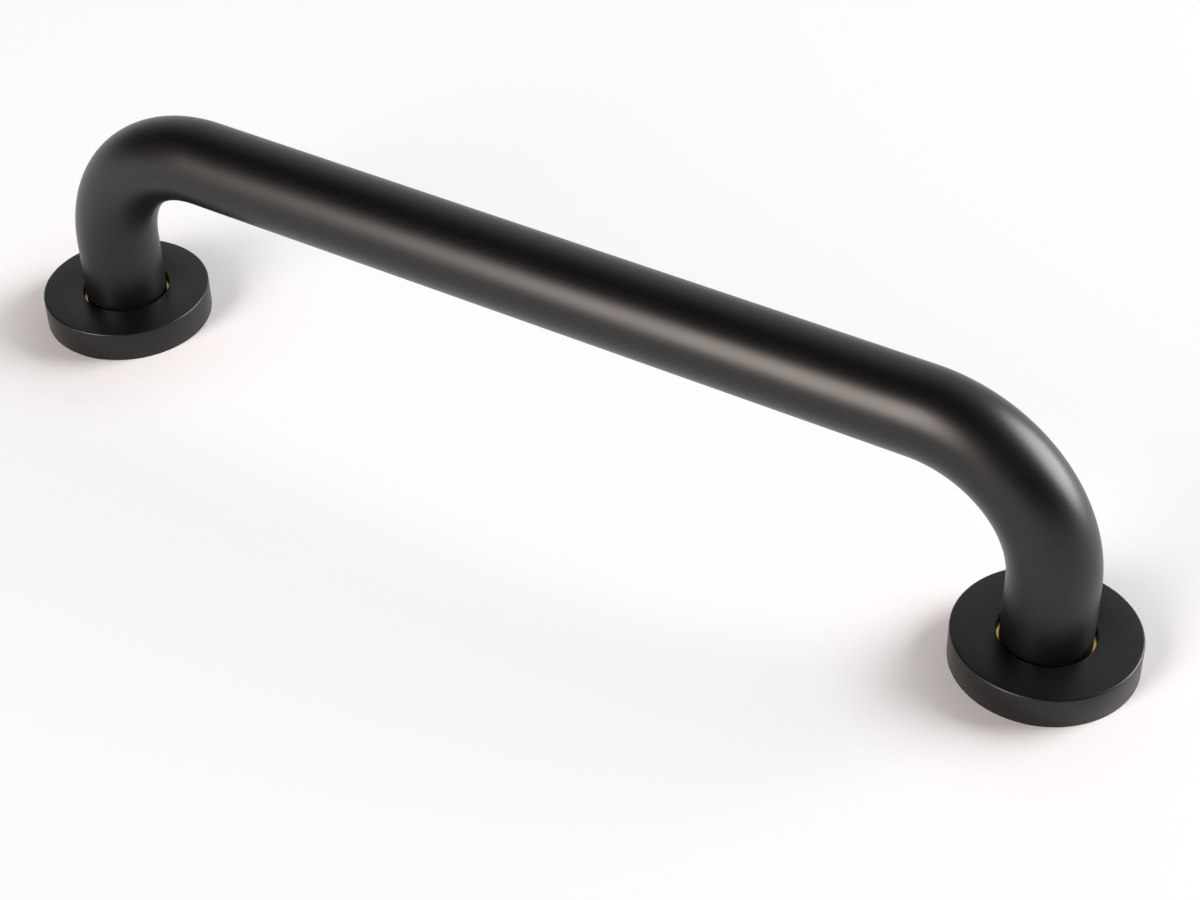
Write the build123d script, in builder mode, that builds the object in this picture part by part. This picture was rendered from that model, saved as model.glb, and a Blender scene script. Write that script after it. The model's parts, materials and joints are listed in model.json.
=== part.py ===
from build123d import *

import os

# Wall grab bar: a bent tube brazed into two wall plates, each hidden by a round cover.
# Millimetres. The wall is the plane z = 0 and +Z points away from it. X runs along the bar,
# and the origin lies on the wall, midway between the two fixings.

# Rail: one tube, bent twice
fixing_centres = 400.0
rail_standoff = 88.0  # wall to the axis of the straight run
bend_radius = 52.0  # to the axis of the tube
tube_diameter = 32.0
tube_wall = 1.5

# Wall plate: a turned disc with a socket that the tube is brazed into
plate_thickness = 4.0
seat_thickness = 2.0  # metal under the end of the tube
socket_height = 9.6  # from the wall
socket_wall = 2.2
braze_gap = 0.05  # radial
socket_root_fillet = 0.5
plate_edge_chamfer = 0.4

# Screw holes in the plate
screws_per_plate = 3
first_screw_angle = 90.0
screw_hole_diameter = 5.5
screw_head_diameter = 9.6
screw_head_angle = 90.0
screw_land_margin = 0.7  # metal left beside a screw head

# Rubber ring that grips the cover, in a groove round the plate's rim
ring_section = 2.0
ring_groove_clearance = 0.05  # ring to the root of its groove, radial
ring_side_clearance = 0.1
ring_cover_clearance = 0.2  # ring to the cover, radial

# Cover: a turned cup with a hole for the tube
cover_wall = 1.5
cover_headroom = 1.5  # socket to the underside of the cover
cover_plate_clearance = 0.6  # radial
cover_tube_clearance = 1.2  # radial
cover_edge_fillet = 0.8
cover_hole_chamfer = 0.3
cover_rim_chamfer = 0.3

# Sizes that follow, from the tube outwards
tube_radius = tube_diameter / 2
tube_bore_radius = tube_radius - tube_wall
socket_bore_radius = tube_radius + braze_gap
socket_radius = socket_bore_radius + socket_wall
screw_circle_radius = socket_radius + screw_land_margin + screw_head_diameter / 2
groove_root_radius = screw_circle_radius + screw_head_diameter / 2 + screw_land_margin
ring_radius = groove_root_radius + ring_groove_clearance + ring_section / 2
groove_width = ring_section + 2 * ring_side_clearance
groove_bottom = (plate_thickness - groove_width) / 2
groove_top = groove_bottom + groove_width
cover_bore_radius = ring_radius + ring_section / 2 + ring_cover_clearance
plate_radius = cover_bore_radius - cover_plate_clearance
cover_radius = cover_bore_radius + cover_wall
cover_hole_radius = tube_radius + cover_tube_clearance
cover_underside = socket_height + cover_headroom
cover_height = cover_underside + cover_wall

half_span = fixing_centres / 2
fixings = {"left": -half_span, "right": half_span}

os.makedirs("parts", exist_ok=True)


def upright(x):
    """A plane through the fixing at x, with its own y axis pointing away from the wall."""
    return Plane(origin=(x, 0, 0), x_dir=(1, 0, 0), z_dir=(0, -1, 0))


def fixing_axis(x):
    """The axis of the fixing at x, square to the wall."""
    return Axis((x, 0, 0), (0, 0, 1))


# Rail: a ring section swept along two legs, two bends and the straight run between them
with BuildPart() as rail_tube:
    with BuildLine(Plane.XZ) as tube_axis:
        FilletPolyline(
            (-half_span, seat_thickness),
            (-half_span, rail_standoff),
            (half_span, rail_standoff),
            (half_span, seat_thickness),
            radius=bend_radius,
        )
    with BuildSketch(Plane(origin=tube_axis.line @ 0, z_dir=tube_axis.line % 0)):
        Circle(tube_radius)
        Circle(tube_bore_radius, mode=Mode.SUBTRACT)
    sweep()
rail_tube.part.label = "rail_tube"
export_step(rail_tube.part, "parts/rail_tube.step")

for side, x in fixings.items():
    # Wall plate: rim groove, socket and the step that the tube stands on, turned about the fixing's axis
    with BuildPart() as wall_plate:
        with BuildSketch(upright(x)):
            with BuildLine():
                Polyline(
                    (tube_bore_radius, 0),
                    (plate_radius, 0),
                    (plate_radius, groove_bottom),
                    (groove_root_radius, groove_bottom),
                    (groove_root_radius, groove_top),
                    (plate_radius, groove_top),
                    (plate_radius, plate_thickness),
                    (socket_radius, plate_thickness),
                    (socket_radius, socket_height),
                    (socket_bore_radius, socket_height),
                    (socket_bore_radius, seat_thickness),
                    (tube_bore_radius, seat_thickness),
                    close=True,
                )
            make_face()
        revolve(axis=fixing_axis(x))
        circles = wall_plate.edges().filter_by(GeomType.CIRCLE)
        at_plate_top = circles.filter_by_position(Axis.Z, plate_thickness, plate_thickness)
        at_socket_top = circles.filter_by_position(Axis.Z, socket_height, socket_height)
        fillet(at_plate_top.sort_by(SortBy.RADIUS)[0], socket_root_fillet)
        chamfer(at_plate_top.sort_by(SortBy.RADIUS)[-1], plate_edge_chamfer)
        chamfer(at_socket_top.sort_by(SortBy.RADIUS)[-1], plate_edge_chamfer)
        with Locations((x, 0, plate_thickness)):
            with PolarLocations(screw_circle_radius, screws_per_plate, first_screw_angle):
                CounterSinkHole(
                    radius=screw_hole_diameter / 2,
                    counter_sink_radius=screw_head_diameter / 2,
                    counter_sink_angle=screw_head_angle,
                )
    wall_plate.part.label = f"{side}_wall_plate"
    export_step(wall_plate.part, f"parts/{side}_wall_plate.step")

    # Rubber ring in the plate's groove, drawn as it lies once the cover has pressed it in
    with BuildPart() as grip_ring:
        with BuildSketch(upright(x)):
            with Locations((ring_radius, plate_thickness / 2)):
                Circle(ring_section / 2)
        revolve(axis=fixing_axis(x))
    grip_ring.part.label = f"{side}_grip_ring"
    export_step(grip_ring.part, f"parts/{side}_grip_ring.step")

    # Cover: a cup over the plate, open to the wall, with a hole that lets it slide up the leg
    with BuildPart() as cover:
        with BuildSketch(upright(x)):
            with BuildLine():
                Polyline(
                    (cover_bore_radius, 0),
                    (cover_radius, 0),
                    (cover_radius, cover_height),
                    (cover_hole_radius, cover_height),
                    (cover_hole_radius, cover_underside),
                    (cover_bore_radius, cover_underside),
                    close=True,
                )
            make_face()
        revolve(axis=fixing_axis(x))
        circles = cover.edges().filter_by(GeomType.CIRCLE)
        at_top = circles.filter_by_position(Axis.Z, cover_height, cover_height).sort_by(SortBy.RADIUS)
        at_rim = circles.filter_by_position(Axis.Z, 0, 0).sort_by(SortBy.RADIUS)
        fillet(at_top[-1], cover_edge_fillet)
        chamfer(at_top[0], cover_hole_chamfer)
        chamfer(at_rim[-1], cover_rim_chamfer)
    cover.part.label = f"{side}_cover"
    export_step(cover.part, f"parts/{side}_cover.step")

print(f"cover {2 * cover_radius:.1f} across, {cover_height:.1f} high, hole {2 * cover_hole_radius:.1f}")
print(f"screw circle {2 * screw_circle_radius:.1f}, plate {2 * plate_radius:.1f} across")
print(f"rail {tube_diameter:.1f} across, reaching {rail_standoff + tube_radius:.1f} from the wall")
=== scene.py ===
# %% [markdown]
# A satin black grab bar: one bent tube between two wall plates, each hidden under a round cover. The packed
# CAD model is loaded first and stays as it is, because it holds every size and everything that moves. This
# lesson adds the looks: smooth meshes for what the eye follows, a finish for every surface, a studio and a
# camera.

# %% Load the frame
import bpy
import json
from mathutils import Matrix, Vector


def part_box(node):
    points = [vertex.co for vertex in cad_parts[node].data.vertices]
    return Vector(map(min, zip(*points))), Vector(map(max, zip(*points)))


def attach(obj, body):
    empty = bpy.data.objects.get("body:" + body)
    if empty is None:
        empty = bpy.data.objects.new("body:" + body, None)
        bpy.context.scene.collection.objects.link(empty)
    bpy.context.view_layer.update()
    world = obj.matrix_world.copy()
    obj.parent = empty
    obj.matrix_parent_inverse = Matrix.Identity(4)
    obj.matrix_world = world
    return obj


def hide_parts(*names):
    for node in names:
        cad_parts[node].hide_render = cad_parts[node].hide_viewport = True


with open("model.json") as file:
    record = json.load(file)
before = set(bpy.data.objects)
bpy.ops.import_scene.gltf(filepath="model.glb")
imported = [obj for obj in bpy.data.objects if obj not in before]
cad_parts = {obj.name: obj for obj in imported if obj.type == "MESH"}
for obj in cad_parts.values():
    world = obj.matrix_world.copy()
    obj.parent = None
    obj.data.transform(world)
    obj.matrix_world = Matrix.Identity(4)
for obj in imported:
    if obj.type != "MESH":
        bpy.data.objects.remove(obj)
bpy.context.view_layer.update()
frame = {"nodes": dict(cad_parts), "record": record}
print("nodes:", ", ".join(sorted(frame["nodes"])))

# %% [markdown]
# A grab bar is ordered by the distance between its fixings and by the thickness of its tube. Both could be
# typed in here, but a size that is written twice will differ one day. So they are measured on the frame, and
# only what a box can't tell is named later, where it is needed: a bend, a wall, the rounding of an edge.

# %% Measure the frame
import math

import bmesh
import bpy
from mathutils import Matrix, Vector

SIDES = ("left", "right")
mounts = {mount["name"]: Vector(mount["pos_m"]) for mount in frame["record"]["mounts"]}
fixings = {side: mounts[f"{side}_fixing_holes"] for side in SIDES}
half_span = fixings["right"].x
tube_low, tube_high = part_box("rail_tube")
tube_radius = tube_high.y
tube_foot = tube_low.z
run_height = tube_high.z - tube_radius
cover_radius, cover_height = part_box("right_cover")[1].yz
socket_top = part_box("right_wall_plate")[1].z


def mm(length):
    """A length in metres as text in millimetres."""
    return f"{1000 * length:.2f} mm"


print("fixings", mm(2 * half_span), "apart")
print("tube", mm(2 * tube_radius), "across, the axis of its run", mm(run_height), "up")
print("covers", mm(2 * cover_radius), "across and", mm(cover_height), "high; sockets", mm(socket_top), "high")

# %% [markdown]
# No finish is the same all over. A coat has a grain that is too fine to see but breaks up the light, and a
# slow cloudiness where it dried a little glossier or duller. Rubber has both too, and bare metal dulls in
# clouds. An effect that several materials share is made once, as a node group, and each material gives it its
# own scale. Noise in metres of Object space stays put when the piece moves.

# %% Node group for grain and clouds
GRAIN_DETAIL = 2.0
CLOUD_DETAIL = 4.0
CLOUD_ROUGHNESS = 0.6


def add_node(tree, kind, inputs=None, **settings):
    """A new shader node, with its settings and the inputs that nothing is linked to."""
    node = tree.nodes.new(f"ShaderNode{kind}")
    for name, value in settings.items():
        setattr(node, name, value)
    for socket, value in (inputs or {}).items():
        node.inputs[socket].default_value = value
    return node


def wire(tree, *pairs):
    """Links sockets in pairs: an output, and the input that it feeds."""
    for output, target in pairs:
        tree.links.new(output, target)


def new_group(name, inputs, outputs):
    """An empty shader node group with named sockets, and the nodes at its two ends."""
    group = bpy.data.node_groups.new(name, "ShaderNodeTree")
    for socket, kind in inputs.items():
        group.interface.new_socket(socket, in_out="INPUT", socket_type=kind)
    for socket in outputs:
        group.interface.new_socket(socket, in_out="OUTPUT", socket_type="NodeSocketFloat")
    return group, group.nodes.new("NodeGroupInput"), group.nodes.new("NodeGroupOutput")


def grain_and_clouds():
    """Two noises on the coordinates that come in: a fine grain, and clouds."""
    group, start, end = new_group(
        "grain_and_clouds",
        {"Vector": "NodeSocketVector",
         "Grain per metre": "NodeSocketFloat",
         "Clouds per metre": "NodeSocketFloat"},
        ("Grain", "Cloud"))
    grain = add_node(group, "TexNoise", {"Detail": GRAIN_DETAIL})
    cloud = add_node(group, "TexNoise", {"Detail": CLOUD_DETAIL, "Roughness": CLOUD_ROUGHNESS})
    wire(group,
         (start.outputs["Vector"], grain.inputs["Vector"]),
         (start.outputs["Grain per metre"], grain.inputs["Scale"]),
         (grain.outputs["Fac"], end.inputs["Grain"]),
         (start.outputs["Vector"], cloud.inputs["Vector"]),
         (start.outputs["Clouds per metre"], cloud.inputs["Scale"]),
         (cloud.outputs["Fac"], end.inputs["Cloud"]))
    return group


GRAIN_AND_CLOUDS = grain_and_clouds()
print("node group:", GRAIN_AND_CLOUDS.name)

# %% [markdown]
# The satin black coat. Hardly any light comes back from the black itself. What the eye sees is the soft
# reflection of the room in its gloss, so the roughness matters far more than the colour: it decides how wide
# the bright bands spread. One colour with one roughness would look like plastic, so the clouds nudge both,
# and the grain goes into a bump a few thousandths of a millimetre deep. The covers look a little duller than
# the tube, so they have a coat of their own, which is rougher and has a lower specular level.

# %% Black coat
NOISE_LOW, NOISE_HIGH = 0.3, 0.7
COAT_TONES = ((0.0020, 0.0020, 0.0022), (0.0034, 0.0033, 0.0035))
COAT_GRAIN = 4000.0
COAT_GRAIN_DEPTH = 0.000004


def new_material(name):
    """A node material, its tree and its Principled shader."""
    material = bpy.data.materials.new(name)
    material.use_nodes = True
    return material, material.node_tree, material.node_tree.nodes["Principled BSDF"]


def spread(tree, low, high):
    """A node that spreads noise, which rarely leaves its middle range, from low to high."""
    return add_node(tree, "MapRange", {"From Min": NOISE_LOW, "From Max": NOISE_HIGH,
                                       "To Min": low, "To Max": high})


def two_tone(tree, first, second):
    """A node that mixes two colours."""
    return add_node(tree, "Mix", {"A": (*first, 1.0), "B": (*second, 1.0)}, data_type="RGBA")


def clouded_material(name, tones, roughness, specular, grain_per_metre, grain_depth, clouds_per_metre):
    """A material whose colour and roughness drift with the clouds, and whose bump is the grain."""
    material, tree, shader = new_material(name)
    shader.inputs["Specular IOR Level"].default_value = specular
    place = add_node(tree, "TexCoord")
    noise = add_node(tree, "Group",
                     {"Grain per metre": grain_per_metre, "Clouds per metre": clouds_per_metre},
                     node_tree=GRAIN_AND_CLOUDS)
    tint = two_tone(tree, *tones)
    drift = spread(tree, *roughness)
    bump = add_node(tree, "Bump", {"Distance": grain_depth})
    wire(tree,
         (place.outputs["Object"], noise.inputs["Vector"]),
         (noise.outputs["Cloud"], tint.inputs["Factor"]),
         (tint.outputs["Result"], shader.inputs["Base Color"]),
         (noise.outputs["Cloud"], drift.inputs["Value"]),
         (drift.outputs["Result"], shader.inputs["Roughness"]),
         (noise.outputs["Grain"], bump.inputs["Height"]),
         (bump.outputs["Normal"], shader.inputs["Normal"]))
    return material


TUBE_COAT = clouded_material("satin_black_tube", COAT_TONES, roughness=(0.350, 0.380), specular=0.46,
                             grain_per_metre=COAT_GRAIN, grain_depth=COAT_GRAIN_DEPTH, clouds_per_metre=45.0)
COVER_COAT = clouded_material("satin_black_cover", COAT_TONES, roughness=(0.360, 0.390), specular=0.40,
                              grain_per_metre=COAT_GRAIN, grain_depth=COAT_GRAIN_DEPTH, clouds_per_metre=60.0)
print("materials:", TUBE_COAT.name, "and", COVER_COAT.name)

# %% [markdown]
# The bent tube. In the workshop a straight tube is cut to length, clamped against a round former and drawn
# round it, twice. The length could be measured along the finished bar, but it is easy to add up: two legs,
# the run between the bends, and two quarter turns along the tube's axis.

# %% Length of tube to cut
BEND_RADIUS = 0.052
TUBE_WALL = 0.0015

bend_height = run_height - BEND_RADIUS
bend_reach = half_span - BEND_RADIUS
leg = Vector((0, 0, bend_height - tube_foot))
run = Vector((2 * bend_reach, 0, 0))
print("straight tube to cut:", mm(2 * leg.length + run.length + math.pi * BEND_RADIUS))

# %% [markdown]
# A curve with a round bevel would give the tube too, but bmesh can follow the workshop: a circle is pulled up
# the first leg, spun a quarter turn about the former's centre, pulled along the run, spun again and pulled
# down the second leg. The bore makes the same journey with a smaller circle. A bend takes the most steps,
# because its outline has to look round.

# %% Bent tube
TUBE_SIDES = 128
BEND_STEPS = 48
RUN_STEPS = 24
LEG_STEPS = 4


def only(kind, made):
    """The items of one kind among what an operator made."""
    return [item for item in made if isinstance(item, kind)]


def pull(bm, loop, way, steps):
    """Extrudes a loop of edges along way in equal steps, and gives the loop at its end."""
    for _ in range(steps):
        made = bmesh.ops.extrude_edge_only(bm, edges=loop)["geom"]
        bmesh.ops.translate(bm, verts=only(bmesh.types.BMVert, made), vec=way / steps)
        loop = only(bmesh.types.BMEdge, made)
    return loop


def bend(bm, loop, centre, steps):
    """Spins a loop of edges a quarter turn about the Y axis through centre, and gives the loop at its end."""
    corners = list(dict.fromkeys(vert for edge in loop for vert in edge.verts))
    made = bmesh.ops.spin(bm, geom=corners + loop, cent=centre, axis=(0, 1, 0), dvec=(0, 0, 0),
                          angle=math.pi / 2, steps=steps, use_merge=False)
    return only(bmesh.types.BMEdge, made["geom_last"])


def bent_skin(bm, radius):
    """One skin of the tube, from foot to foot. Gives the loops of edges at its two feet."""
    foot = Matrix.Translation((-half_span, 0, tube_foot))
    circle = bmesh.ops.create_circle(bm, segments=TUBE_SIDES, radius=radius, matrix=foot)["verts"]
    first = list(dict.fromkeys(edge for vert in circle for edge in vert.link_edges))
    loop = pull(bm, first, leg, LEG_STEPS)
    loop = bend(bm, loop, (-bend_reach, 0, bend_height), BEND_STEPS)
    loop = pull(bm, loop, run, RUN_STEPS)
    loop = bend(bm, loop, (bend_reach, 0, bend_height), BEND_STEPS)
    return first, pull(bm, loop, -leg, LEG_STEPS)


tube = bmesh.new()
outer_feet = bent_skin(tube, tube_radius)
bore_feet = bent_skin(tube, tube_radius - TUBE_WALL)
for outer, bore in zip(outer_feet, bore_feet):
    bmesh.ops.bridge_loops(tube, edges=outer + bore)
print("tube:", len(tube.faces), "faces")

# %% [markdown]
# Every mesh is finished alike. Points that lie on each other are merged, the faces are turned outwards, and
# the shading is smooth except across edges that are truly sharp. The piece then moves with its body, and the
# CAD node that it stands for is hidden.

# %% Finish the tube
SHARP_ANGLE = math.radians(35)
MERGE_DISTANCE = 1e-7


def new_object(bm, name, material):
    """Turns a bmesh into an object with one material."""
    mesh = bpy.data.meshes.new(name)
    bm.to_mesh(mesh)
    bm.free()
    mesh.materials.append(material)
    made = bpy.data.objects.new(name, mesh)
    bpy.context.scene.collection.objects.link(made)
    return made


def finish_piece(bm, name, material, body, node):
    """Merges and shades a mesh, makes its object, parents that to its body and hides the CAD node it stands
    for.
    """
    bmesh.ops.remove_doubles(bm, verts=bm.verts, dist=MERGE_DISTANCE)
    bmesh.ops.recalc_face_normals(bm, faces=bm.faces)
    for face in bm.faces:
        face.smooth = True
    for edge in bm.edges:
        edge.smooth = edge.calc_face_angle(math.pi) < SHARP_ANGLE
    open_edges = sum(not edge.is_manifold for edge in bm.edges)
    print(f"{name}: {len(bm.faces)} faces, {open_edges} open edges, {1e6 * bm.calc_volume():.2f} cm3")
    piece = new_object(bm, name, material)
    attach(piece, body)
    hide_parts(node)


finish_piece(tube, "bent_tube", TUBE_COAT, body="bar", node="rail_tube")

# %% [markdown]
# The covers. A cover is a cup turned on a lathe, with its edge just broken: that small rounding is what draws
# the thin bright line round it, and without it the cover looks like a cut-out. A cylinder with a hole could
# be bevelled, but turning is simpler: a flat profile is drawn with six corners, three of them are rounded,
# and the outline is spun once about the leg. Each rounding has a size, and a number of facets to suit it.

# %% Covers
COVER_WALL = 0.0015
COVER_HOLE_GAP = 0.0012
RIM_ROUNDING = (0.0003, 2)
EDGE_ROUNDING = (0.0008, 6)
HOLE_ROUNDING = (0.0003, 3)
LATHE_STEPS = 192


def cover_profile(axis):
    """Half of the cover's section, from the axis outwards, with its edges broken."""
    hole = tube_radius + COVER_HOLE_GAP
    bore = cover_radius - COVER_WALL
    ceiling = cover_height - COVER_WALL
    corners = ((bore, 0), (cover_radius, 0), (cover_radius, cover_height),
               (hole, cover_height), (hole, ceiling), (bore, ceiling))
    bm = bmesh.new()
    points = [bm.verts.new(axis + Vector((reach, 0, height))) for reach, height in corners]
    bm.faces.new(points)
    _, rim, edge, hole_edge, _, _ = points
    for corner, (size, facets) in ((rim, RIM_ROUNDING), (edge, EDGE_ROUNDING), (hole_edge, HOLE_ROUNDING)):
        bmesh.ops.bevel(bm, geom=[corner], offset=size, offset_type="OFFSET", affect="VERTICES",
                        segments=facets, profile=0.5, material=-1)
    return bm


def lathe(bm, axis):
    """Spins the outline of a profile once about the vertical axis through a fixing."""
    bmesh.ops.delete(bm, geom=bm.faces[:], context="FACES_ONLY")
    bmesh.ops.spin(bm, geom=bm.verts[:] + bm.edges[:], cent=axis, axis=(0, 0, 1), dvec=(0, 0, 0),
                   angle=math.tau, steps=LATHE_STEPS, use_merge=True)


for side in SIDES:
    cover = cover_profile(fixings[side])
    lathe(cover, fixings[side])
    finish_piece(cover, f"{side}_turned_cover", COVER_COAT,
                 body=f"{side}_cover", node=f"{side}_cover")

# %% [markdown]
# The wall plates are bare brass, turned like the covers, so their faces carry fine rings about the fixing.
# Rings could follow a texture wrapped on each plate. Distance from the fixing's axis does it without one, and
# folding X at the middle of the bar lets both ends share it. The floor will need that distance too, so it is
# a node group.

# %% Node group for the distance from a fixing
def distance_from_fixing():
    """How far a point lies from the axis of the nearer fixing."""
    group, start, end = new_group("distance_from_fixing", {"Vector": "NodeSocketVector"}, ("Distance",))
    split = add_node(group, "SeparateXYZ")
    fold = add_node(group, "Math", operation="ABSOLUTE")
    centre = add_node(group, "Math", {1: half_span}, operation="SUBTRACT")
    flat = add_node(group, "CombineXYZ")
    reach = add_node(group, "VectorMath", operation="LENGTH")
    wire(group,
         (start.outputs["Vector"], split.inputs["Vector"]),
         (split.outputs["X"], fold.inputs[0]),
         (fold.outputs["Value"], centre.inputs[0]),
         (centre.outputs["Value"], flat.inputs["X"]),
         (split.outputs["Y"], flat.inputs["Y"]),
         (flat.outputs["Vector"], reach.inputs[0]),
         (reach.outputs["Value"], end.inputs["Distance"]))
    return group


DISTANCE_FROM_FIXING = distance_from_fixing()
print("node group:", DISTANCE_FROM_FIXING.name)

# %% [markdown]
# Brass from the lathe is bright, and it dulls in patches where it was handled. A bump alone would draw the
# rings, but they differ in polish too, so one noise along the distance from the axis drives both the bump and
# the roughness. The clouds mix a bright tone with a tarnished one.

# %% Turned brass
BRASS_TONES = ((0.70, 0.49, 0.19), (0.48, 0.33, 0.13))
BRASS_ROUGHNESS = (0.12, 0.28)
BRASS_CLOUDS = 110.0
RINGS_PER_METRE = 2500.0
RING_DETAIL = 3.0
RING_DEPTH = 0.000006


def turned_brass():
    """Bare brass with the rings that a lathe leaves, dulled in patches."""
    material, tree, shader = new_material("turned_brass")
    shader.inputs["Metallic"].default_value = 1.0
    place = add_node(tree, "TexCoord")
    reach = add_node(tree, "Group", node_tree=DISTANCE_FROM_FIXING)
    rings = add_node(tree, "TexNoise", {"Scale": RINGS_PER_METRE, "Detail": RING_DETAIL},
                     noise_dimensions="1D")
    noise = add_node(tree, "Group", {"Clouds per metre": BRASS_CLOUDS}, node_tree=GRAIN_AND_CLOUDS)
    tint = two_tone(tree, *BRASS_TONES)
    polish = spread(tree, *BRASS_ROUGHNESS)
    bump = add_node(tree, "Bump", {"Distance": RING_DEPTH})
    wire(tree,
         (place.outputs["Object"], reach.inputs["Vector"]),
         (reach.outputs["Distance"], rings.inputs["W"]),
         (rings.outputs["Fac"], polish.inputs["Value"]),
         (polish.outputs["Result"], shader.inputs["Roughness"]),
         (rings.outputs["Fac"], bump.inputs["Height"]),
         (bump.outputs["Normal"], shader.inputs["Normal"]),
         (place.outputs["Object"], noise.inputs["Vector"]),
         (noise.outputs["Cloud"], tint.inputs["Factor"]),
         (tint.outputs["Result"], shader.inputs["Base Color"]))
    return material


def repaint(node, material):
    """Gives a CAD node another material."""
    for place in frame["nodes"][node].material_slots:
        place.material = material


TURNED_BRASS = turned_brass()
for side in SIDES:
    repaint(f"{side}_wall_plate", TURNED_BRASS)
    print(f"{side}_wall_plate:", TURNED_BRASS.name)

# %% [markdown]
# The grip rings are black rubber, rolled into a groove round each plate, and they hold the cover by friction.
# Rubber is duller than the coat and a shade greyer. The CAD's ring is right as it is, so it only gets a
# finish: the same clouds and grain at a size that looks like talc.

# %% Grip rings
RUBBER_TONES = ((0.012, 0.012, 0.012), (0.035, 0.035, 0.034))
RUBBER = clouded_material("grip_ring_rubber", RUBBER_TONES, roughness=(0.55, 0.75), specular=0.5,
                          grain_per_metre=2500.0, grain_depth=0.00001, clouds_per_metre=160.0)
for side in SIDES:
    repaint(f"{side}_grip_ring", RUBBER)
    print(f"{side}_grip_ring:", RUBBER.name)

# %% [markdown]
# The floor is a white sweep, as in a product studio. White paper alone would turn grey away from the lamps,
# so to the camera and to reflections a part of it shines plain white, more and more with distance. Close to
# the covers it is only paper, which keeps the shadow that ties the bar to the ground.

# %% Floor
FLOOR_HALF = 30.0
PAPER = (0.84, 0.84, 0.84)
BLACK = (0.0, 0.0, 0.0)
WHITE = (1.0, 1.0, 1.0)
SHINE_START, SHINE_FULL = cover_radius, 0.08
SHINE_SHARE = 0.68
SWEEP_START, SWEEP_FULL = 0.6, 3.0


def white_sweep():
    """Pale paper that fades to plain white with distance."""
    material, tree, shader = new_material("white_sweep")
    shader.inputs["Roughness"].default_value = 1.0
    shader.inputs["Specular IOR Level"].default_value = 0.0
    shader.inputs["Emission Strength"].default_value = 1.0
    place = add_node(tree, "TexCoord")
    reach = add_node(tree, "Group", node_tree=DISTANCE_FROM_FIXING)
    near = add_node(tree, "MapRange", {"From Min": SHINE_START, "From Max": SHINE_FULL,
                                       "To Max": SHINE_SHARE}, interpolation_type="SMOOTHSTEP")
    far = add_node(tree, "MapRange", {"From Min": SWEEP_START, "From Max": SWEEP_FULL,
                                      "To Max": 1.0 - SHINE_SHARE})
    both = add_node(tree, "Math", operation="ADD")
    ray = add_node(tree, "LightPath")
    seen = add_node(tree, "Math", operation="MAXIMUM")
    shown = add_node(tree, "Math", operation="MAXIMUM")
    share = add_node(tree, "Math", operation="MULTIPLY")
    paper = two_tone(tree, PAPER, BLACK)
    white = two_tone(tree, BLACK, WHITE)
    wire(tree,
         (place.outputs["Object"], reach.inputs["Vector"]),
         (reach.outputs["Distance"], near.inputs["Value"]),
         (reach.outputs["Distance"], far.inputs["Value"]),
         (near.outputs["Result"], both.inputs[0]),
         (far.outputs["Result"], both.inputs[1]),
         (ray.outputs["Is Camera Ray"], seen.inputs[0]),
         (ray.outputs["Is Glossy Ray"], seen.inputs[1]),
         (seen.outputs["Value"], shown.inputs[0]),
         (ray.outputs["Is Transmission Ray"], shown.inputs[1]),
         (both.outputs["Value"], share.inputs[0]),
         (shown.outputs["Value"], share.inputs[1]),
         (share.outputs["Value"], paper.inputs["Factor"]),
         (share.outputs["Value"], white.inputs["Factor"]),
         (paper.outputs["Result"], shader.inputs["Base Color"]),
         (white.outputs["Result"], shader.inputs["Emission Color"]))
    return material


sheet = bmesh.new()
bmesh.ops.create_grid(sheet, x_segments=1, y_segments=1, size=FLOOR_HALF)
floor = new_object(sheet, "floor", white_sweep())
print("floor:", 2 * FLOOR_HALF, "m across")

# %% [markdown]
# Two large soft boxes light the bar, both low. The warm one stands in front, to the left, and lays the pale
# strip along the run. The neutral one stands behind, to the right, and lights the outside of the near bend.
# A lamp is set by what the bar sees of it: its direction, how wide it looks, and how bright its face is. The
# power follows from the size.

# %% Soft boxes
LAMP_DISTANCE = 3.0
AIM = Vector((0.0, 0.0, run_height))


def direction(azimuth, elevation):
    """A unit vector, from degrees: azimuth 0 is the front of the bar, and it grows to the right."""
    around, above = math.radians(azimuth), math.radians(elevation)
    return Vector((math.sin(around) * math.cos(above), -math.cos(around) * math.cos(above), math.sin(above)))


def soft_box(name, azimuth, elevation, half_wide, half_high, radiance, colour):
    """A soft box that faces the bar, with its half width and half height in degrees."""
    lamp = bpy.data.lights.new(name, "AREA")
    lamp.shape = "ELLIPSE"
    lamp.size = 2 * LAMP_DISTANCE * math.tan(math.radians(half_wide))
    lamp.size_y = 2 * LAMP_DISTANCE * math.tan(math.radians(half_high))
    face_area = math.pi / 4 * lamp.size * lamp.size_y
    lamp.energy = radiance * math.pi * face_area
    lamp.color = colour
    box = bpy.data.objects.new(name, lamp)
    way = direction(azimuth, elevation)
    box.location = AIM + LAMP_DISTANCE * way
    box.rotation_euler = way.to_track_quat("Z", "Y").to_euler()
    box.visible_camera = False
    bpy.context.scene.collection.objects.link(box)
    print(f"{name}: {lamp.size:.2f} m by {lamp.size_y:.2f} m, {lamp.energy:.0f} W")


soft_box("front_soft_box", azimuth=-15, elevation=22, half_wide=14, half_high=20,
         radiance=14.0, colour=(1.0, 0.89, 0.81))
soft_box("back_soft_box", azimuth=133, elevation=21, half_wide=21, half_high=22,
         radiance=12.0, colour=(1.0, 0.96, 0.99))

# %% [markdown]
# The rest of the room is the world. It is dark overhead, which makes the black band along the top of the bar.
# Low down it has pale walls all round, and the wall behind the bar glows higher up and lifts the bar's upper
# edge. An image of a room would do too, but two ramps on the direction of the ray are enough.

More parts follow.
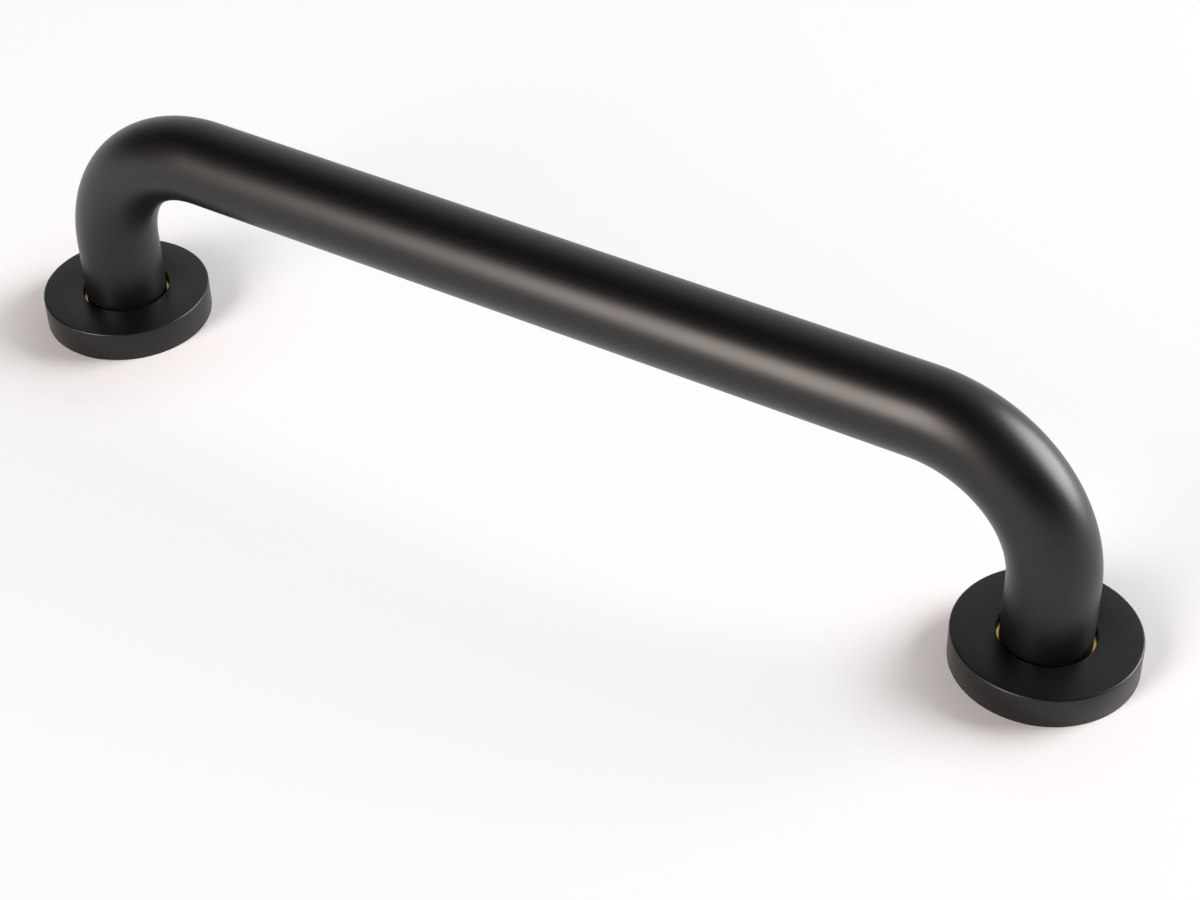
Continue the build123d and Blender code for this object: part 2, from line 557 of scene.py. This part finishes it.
# %% World
WALL_MIDDLE = direction(azimuth=-165, elevation=0)
WALL_SPREAD = math.radians(80)
LOW_WALL_FULL, LOW_WALL_TOP = math.radians(1.5), math.radians(6)
WALL_COLOUR = (0.83, 0.81, 0.83)
ROOM_COLOUR = (0.008, 0.012, 0.028)


def studio_world():
    """A dark room with pale walls low down, and a glow on the wall behind the bar."""
    world = bpy.data.worlds.new("studio")
    world.use_nodes = True
    tree = world.node_tree
    place = add_node(tree, "TexCoord")
    towards = add_node(tree, "VectorMath", {1: WALL_MIDDLE}, operation="DOT_PRODUCT")
    glow = add_node(tree, "MapRange", {"From Min": math.cos(WALL_SPREAD)}, interpolation_type="SMOOTHSTEP")
    split = add_node(tree, "SeparateXYZ")
    low = add_node(tree, "MapRange",
                   {"From Min": math.sin(LOW_WALL_TOP), "From Max": math.sin(LOW_WALL_FULL)},
                   interpolation_type="SMOOTHSTEP")
    paler = add_node(tree, "Math", operation="MAXIMUM")
    colour = two_tone(tree, ROOM_COLOUR, WALL_COLOUR)
    wire(tree,
         (place.outputs["Generated"], towards.inputs[0]),
         (towards.outputs["Value"], glow.inputs["Value"]),
         (place.outputs["Generated"], split.inputs["Vector"]),
         (split.outputs["Z"], low.inputs["Value"]),
         (glow.outputs["Result"], paler.inputs[0]),
         (low.outputs["Result"], paler.inputs[1]),
         (paler.outputs["Value"], colour.inputs["Factor"]),
         (colour.outputs["Result"], tree.nodes["Background"].inputs["Color"]))
    return world


bpy.context.scene.world = studio_world()
bpy.context.scene.view_settings.view_transform = "Standard"
print("world:", bpy.context.scene.world.name)

# %% [markdown]
# The camera stands in front, to the right and above, with a long lens, and looks down at the near end. Its
# place was found by fitting the outlines of tube and covers, so it is given as plain angles and distances.
# Blender's camera looks along its own -Z axis, so its axes are the right, the up and the backward direction.

# %% Camera
CAMERA_AZIMUTH = 31.88
CAMERA_ELEVATION = 39.93
CAMERA_ROLL = -1.31
CAMERA_TARGET = Vector((0.02325, 0.0, 0.01907))
CAMERA_DISTANCE = 0.92011
CAMERA_LENS = 75.44
SENSOR_WIDTH = 36.0

backward = direction(CAMERA_AZIMUTH, CAMERA_ELEVATION)
rightward = Vector((0, 0, 1)).cross(backward).normalized()
upward = backward.cross(rightward)
level = Matrix((rightward, upward, backward)).transposed()
roll = Matrix.Rotation(math.radians(CAMERA_ROLL), 3, "Z")
lens = bpy.data.cameras.new("photo_camera")
lens.lens = CAMERA_LENS
lens.sensor_width = SENSOR_WIDTH
camera = bpy.data.objects.new("photo_camera", lens)
camera.matrix_world = Matrix.Translation(CAMERA_TARGET + CAMERA_DISTANCE * backward) @ (level @ roll).to_4x4()
bpy.context.scene.collection.objects.link(camera)
bpy.context.scene.camera = camera
print("camera at", [round(value, 3) for value in camera.location])

# %% [markdown]
# Looks must not change the size of the part.

# %% Import json
import json
